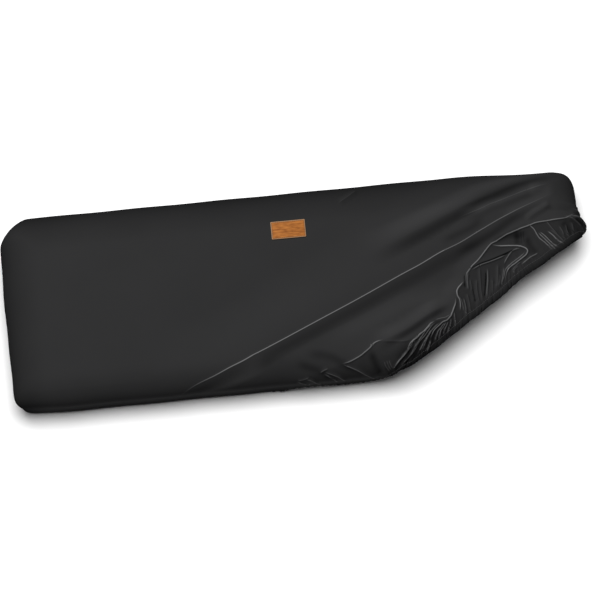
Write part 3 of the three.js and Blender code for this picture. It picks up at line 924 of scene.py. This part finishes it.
def stitch_row(name, line, up):
    """Stitches along a closed line of points, bulging along the directions that point off the cloth."""
    closed, closed_up = (np.vstack([values, values[:1]]) for values in (line, up))
    walk = walk_along(closed)
    count = int(walk[-1] / STITCH_PITCH)
    centre = (np.arange(count) + 0.5) * walk[-1] / count

    def at(values, place):
        return np.stack([np.interp(place % walk[-1], walk, values[:, axis]) for axis in range(3)], axis=1)

    lift = unit(at(closed_up, centre))
    along = unit(at(closed, centre + 0.5) - at(closed, centre - 0.5))
    aside = np.cross(along, lift)
    angle = 2 * math.pi * np.arange(SPINDLE_SIDES) / SPINDLE_SIDES
    points = []
    for share, width in SPINDLE:
        core = at(closed, centre + share * STITCH_LENGTH) + lift * THREAD_RADIUS * (width - THREAD_SUNK)
        for turn in angle:
            points.append(core + THREAD_RADIUS * width * (math.cos(turn) * aside + math.sin(turn) * lift))
    starts = range(0, count * len(points), len(points))
    spindle = capped_tube(SPINDLE_SIDES, len(SPINDLE))
    faces = [[corner + start for corner in face] for start in starts for face in spindle]
    return mesh_piece(name, np.array(points).transpose(1, 0, 2).reshape(-1, 3), faces)


def capped_tube(columns, rows):
    """Faces of a tube made of rings of points and closed at both ends."""
    ends = np.arange(columns)
    sides = grid_faces(columns, rows)[:, ::-1].tolist()
    return sides + [ends[::-1].tolist(), (ends + (rows - 1) * columns).tolist()]


def hem_line(distance):
    """Points and normals on the outside of the cloth at one distance from the hem."""
    row = (hem_distance > distance).sum(axis=0) - 1
    before, after = (row, np.arange(ring_count)), (row + 1, np.arange(ring_count))
    share = ((hem_distance[before] - distance) / (hem_distance[before] - hem_distance[after]))[:, None]
    grids = (values[:band_away.size].reshape(*band_away.shape, 3) for values in (outside, normal))
    return [grid[before] * (1 - share) + grid[after] * share for grid in grids]


hem_stitches = stitch_row("hem_stitches", *hem_line(HEM_WIDTH))
print("hem stitches:", len(hem_stitches.data.polygons), "faces")

# %% [markdown]
# ## Label
# A small rectangle of tan leather is sewn on near the back edge, very slightly askew. It is bare. Its
# section is a short list of steps from the underside over a rounded edge to the face, with a shallow pressed
# line where the thread runs, and each step is one ring of points, set in from the outline.

# %% Label
LABEL_SIZE, LABEL_TURN = np.array([60, 32]), math.radians(-0.3)
LABEL_CORNER, LABEL_LEAST_CORNER, LABEL_ARC = 1.4, 0.3, 7
LABEL_SECTION = [(0.5, 0), (0.12, 0.15), (0, 0.5), (0, 1.0), (0.14, 1.35), (0.5, 1.55), (1.0, 1.6),
                 (1.4, 1.55), (1.8, 1.42), (2.2, 1.55), (2.7, 1.6)]
LABEL_SEAT = 0.25
LABEL_SEAM, LABEL_SEAM_HEIGHT = 1.8, 1.45
PALE_EDGE, PRESSED_LINE = 1.5, 2.3

label_low, label_high = (np.array(corner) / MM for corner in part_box("label"))


def rounded_outline(inset):
    """Points round the label, set in by a distance, counterclockwise from the right."""
    half = LABEL_SIZE / 2 - inset
    radius = max(LABEL_CORNER - inset, LABEL_LEAST_CORNER)
    places = []
    for quarter, sign in enumerate([(1, 1), (-1, 1), (-1, -1), (1, -1)]):
        centre = np.array(sign) * (half - radius)
        for turn in (quarter + np.linspace(0, 1, LABEL_ARC)) * math.pi / 2:
            places.append(centre + radius * np.array([math.cos(turn), math.sin(turn)]))
    return np.array(places)


def label_ring(inset, height):
    """One ring of the label, turned and set on the middle of its solid."""
    along, across = math.cos(LABEL_TURN), math.sin(LABEL_TURN)
    turned = rounded_outline(inset) @ np.array([[along, across], [-across, along]])
    outline = turned + (label_low + label_high)[:2] / 2
    return np.hstack([outline, np.full((len(outline), 1), label_low[2] - LABEL_SEAT + height)])


def make_label():
    rings = [label_ring(inset, height) for inset, height in LABEL_SECTION]
    piece = mesh_piece("leather_label", np.concatenate(rings), capped_tube(len(rings[0]), len(rings)))
    insets = np.repeat([inset for inset, _ in LABEL_SECTION], len(rings[0]))
    keep_values(piece, "rim", np.where(insets < PALE_EDGE, 1.0, np.where(insets < PRESSED_LINE, -1.0, 0.0)))
    return piece


label = make_label()
seam = label_ring(LABEL_SEAM, LABEL_SEAM_HEIGHT)
label_stitches = stitch_row("label_stitches", seam, np.tile([0.0, 0, 1], (len(seam), 1)))
print("label:", len(label.data.polygons), "faces, and stitches:", len(label_stitches.data.polygons))

# %% [markdown]
# ## Finishes
# A finish is a material whose nodes do sums. The class Wire wraps one output of a node, so that `1 - mask`
# or `0.3 * grain` reads as it would on paper and adds the Math nodes by itself. The class Finish holds the
# material. Its method `node` adds any other node, and the short ones after it are made of that.

# %% Shader sums
class Wire:
    """An output of a node that can stand in a sum."""

    def __init__(self, finish, socket):
        self.finish, self.socket = finish, socket

    def math(self, operation, first, second):
        return self.finish.node("ShaderNodeMath", {"operation": operation}, {0: first, 1: second})

    def __add__(self, other):
        return self.math("ADD", self, other)

    def __sub__(self, other):
        return self.math("SUBTRACT", self, other)

    def __rsub__(self, other):
        return self.math("SUBTRACT", other, self)

    def __mul__(self, other):
        return self.math("MULTIPLY", self, other)

    __radd__, __rmul__ = __add__, __mul__


class Finish:
    """A material with one shader, and the method that adds its nodes."""

    def __init__(self, name, **constants):
        self.material = bpy.data.materials.new(name)
        self.material.use_nodes = True
        self.nodes, self.links = self.material.node_tree.nodes, self.material.node_tree.links
        self.shader = self.nodes["Principled BSDF"]
        self.drive(**constants)

    def plug(self, socket, value):
        if isinstance(value, Wire):
            self.links.new(value.socket, socket)
        else:
            socket.default_value = value

    def node(self, kind, settings, sockets, output=0):
        """A node of that kind, its settings first, then the values or wires of its sockets."""
        node = self.nodes.new(kind)
        for name, value in settings.items():
            setattr(node, name, value)
        for name, value in sockets.items():
            self.plug(node.inputs[name], value)
        return Wire(self, node.outputs[output])

    def kept(self, name, output="Fac"):
        """A value that is kept on the mesh."""
        return self.node("ShaderNodeAttribute", {"attribute_name": name}, {}, output)

    def noise(self, place, scale, detail):
        sockets = {"Vector": place, "Scale": scale, "Detail": detail}
        return self.node("ShaderNodeTexNoise", {}, sockets, "Fac")

    def bump(self, strength, depth, relief):
        sockets = {"Strength": strength, "Distance": depth * MM, "Height": relief}
        return self.node("ShaderNodeBump", {}, sockets, "Normal")

    def blend(self, first, second, share):
        return self.node("ShaderNodeMix", {"data_type": "RGBA"}, {0: share, 6: first, 7: second}, 2)

    def drive(self, **sockets):
        for socket, value in sockets.items():
            self.plug(self.shader.inputs[socket.replace("_", " ")], value)


print("shader sums ready")

# %% [markdown]
# ## Black knit
# The cloth is a fine stretch knit, matt and very dark. Columns of loops and courses cross each other, both
# under a millimetre, so they are bump. They are laid out on the plan, which is kept on the mesh, so they
# follow the cloth over the edges. The painted light and shade kept on the mesh moves the colour between a
# darker and a paler knit, with a little random cloudiness and fuzz, and the crests of the creases carry a
# painted highlight.

# %% Knit finish
# Darker and paler ends of the knit colour: painted light and shade and random cloudiness move between them.
KNIT_DARK_AND_SHADED, KNIT_PALE_AND_LIT = (0.006, 0.006, 0.0062, 1), (0.0425, 0.0425, 0.0432, 1)
# The painted highlight: the thin pale line along the crests of creases.
KNIT_PAINTED_HIGHLIGHT = (0.2, 0.2, 0.203, 1)
LOOP_PITCH, COURSE_PITCH = 0.9, 0.75
WAVE_RATE = 20.0
CLOUD_SCALE, FUZZ_SCALE = 9.0, 900.0
UNSHADED_LEVEL = 0.473


def knit_finish():
    knit = Finish("black_knit", Roughness=0.95, Specular_IOR_Level=0.0)
    spread, crest, painted_light_and_shade = knit.kept("spread", "Vector"), knit.kept("crest"), knit.kept("painted_light_and_shade")
    cloud = knit.noise(spread, CLOUD_SCALE, detail=3.0)
    fuzz = knit.noise(spread, FUZZ_SCALE, detail=2.0)
    # The kept tone is painted light and shade; the cloud and fuzz are the knit's own uneven colour.
    painted_shade_and_cloud = UNSHADED_LEVEL + 0.5 * painted_light_and_shade + 0.1 * cloud + 0.06 * fuzz
    body = knit.blend(KNIT_DARK_AND_SHADED, KNIT_PALE_AND_LIT, painted_shade_and_cloud)
    loops = wave(knit, spread, "X", LOOP_PITCH)
    courses = wave(knit, spread, "Y", COURSE_PITCH)
    relief = 0.5 * loops + 0.3 * courses + 0.4 * fuzz
    loop_bump = knit.bump(strength=0.35, depth=0.2, relief=relief)
    knit.drive(Base_Color=knit.blend(body, KNIT_PAINTED_HIGHLIGHT, crest), Normal=loop_bump)
    return knit.material


def wave(finish, place, axis, pitch):
    """Ridges of that pitch in millimetres. At a scale of 1 the node turns by the wave rate over one unit."""
    settings = {"wave_type": "BANDS", "bands_direction": axis, "wave_profile": "SIN"}
    sockets = {"Vector": place, "Scale": 2 * math.pi / (WAVE_RATE * pitch * MM), "Distortion": 0.0}
    return finish.node("ShaderNodeTexWave", settings, sockets, "Fac")


cover.data.materials.append(knit_finish())
print("knit:", LOOP_PITCH, "by", COURSE_PITCH, "mm loops")

# %% [markdown]
# ## Thread and leather
# Thread is spun, so its colour varies finely along it. Leather has a grain of small closed cells, and darker
# and lighter streaks along its length. It is paler along its edge and darker in the pressed line.

# %% Thread and leather finishes
HEM_THREAD, LABEL_THREAD = (0.045, 0.045, 0.046, 1), (0.13, 0.055, 0.02, 1)
LEATHER_DARK, LEATHER_PALE = (0.2, 0.061, 0.011, 1), (0.45, 0.165, 0.036, 1)
LEATHER_EDGE = (0.32, 0.22, 0.135, 1)
STREAK_STRETCH = (1, 6, 1)
STRAND_SCALE, STREAK_SCALE, CELL_SCALE = 2500.0, 90.0, 1100.0


def thread_finish(name, colour):
    thread = Finish(name, Roughness=0.7, Specular_IOR_Level=0.25, Sheen_Weight=0.1)
    place = thread.node("ShaderNodeTexCoord", {}, {}, "Object")
    strand = thread.noise(place, STRAND_SCALE, detail=2.0)
    paler = tuple(min(1.6 * value, 1) for value in colour[:3]) + (1,)
    thread.drive(Base_Color=thread.blend(colour, paler, strand))
    return thread.material


def leather_finish():
    leather = Finish("tan_leather", Specular_IOR_Level=0.06)
    place = leather.node("ShaderNodeTexCoord", {}, {}, "Object")
    along = leather.node("ShaderNodeVectorMath", {"operation": "MULTIPLY"}, {0: place, 1: STREAK_STRETCH})
    streak = leather.noise(along, STREAK_SCALE, detail=5.0)
    cells = leather.node("ShaderNodeTexVoronoi", {}, {"Vector": place, "Scale": CELL_SCALE}, "Distance")
    rim = leather.kept("rim")
    relief = cells + 0.6 * streak
    face = leather.blend(LEATHER_DARK, LEATHER_PALE, 2.4 * streak - 0.7)
    pressed = leather.blend(face, LEATHER_DARK, -0.8 * rim)
    colour = leather.blend(pressed, LEATHER_EDGE, 0.7 * rim)
    grain = leather.bump(strength=0.3, depth=0.3, relief=relief)
    leather.drive(Base_Color=colour, Roughness=0.45 + 0.2 * streak, Normal=grain)
    return leather.material


hem_stitches.data.materials.append(thread_finish("black_thread", HEM_THREAD))
label_stitches.data.materials.append(thread_finish("tan_thread", LABEL_THREAD))
label.data.materials.append(leather_finish())
print("finishes:", [material.name for material in bpy.data.materials])

# %% [markdown]
# ## Floor
# A plain pale floor lies at the height of the cloth's lowest point. It isn't part of the object. Each lamp
# is now kept to what it is for.

# %% Floor
FLOOR_HALF = 6000
FLOOR_SIGNS = [(-1, -1), (1, -1), (1, 1), (-1, 1)]
FLOOR_COLOUR = (0.9, 0.9, 0.9, 1)

floor_height = min(vertex.co.z for vertex in cover.data.vertices) / MM
corners = [(x * FLOOR_HALF, y * FLOOR_HALF, floor_height) for x, y in FLOOR_SIGNS]
floor = mesh_piece("floor", corners, [[0, 1, 2, 3]])
floor.data.materials.append(Finish("pale_floor", Base_Color=FLOOR_COLOUR, Roughness=0.9).material)
keep_to(floor_light, [floor])
keep_to(cloth_light, [cover, hem_stitches, label, label_stitches])
print("the floor lies at", round(floor_height, 1), "mm")

# %% [markdown]
# ## What each piece is
# Every piece rides on the part's one body, and the solids that the cloth and the label stand for are hidden.

for piece, slot in ((cover, "stretch_cloth"), (hem_stitches, "stretch_cloth"), (label, "label_leather"),
                    (label_stitches, "label_leather")):
    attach(piece, "root")
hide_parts("cover")
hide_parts("label")
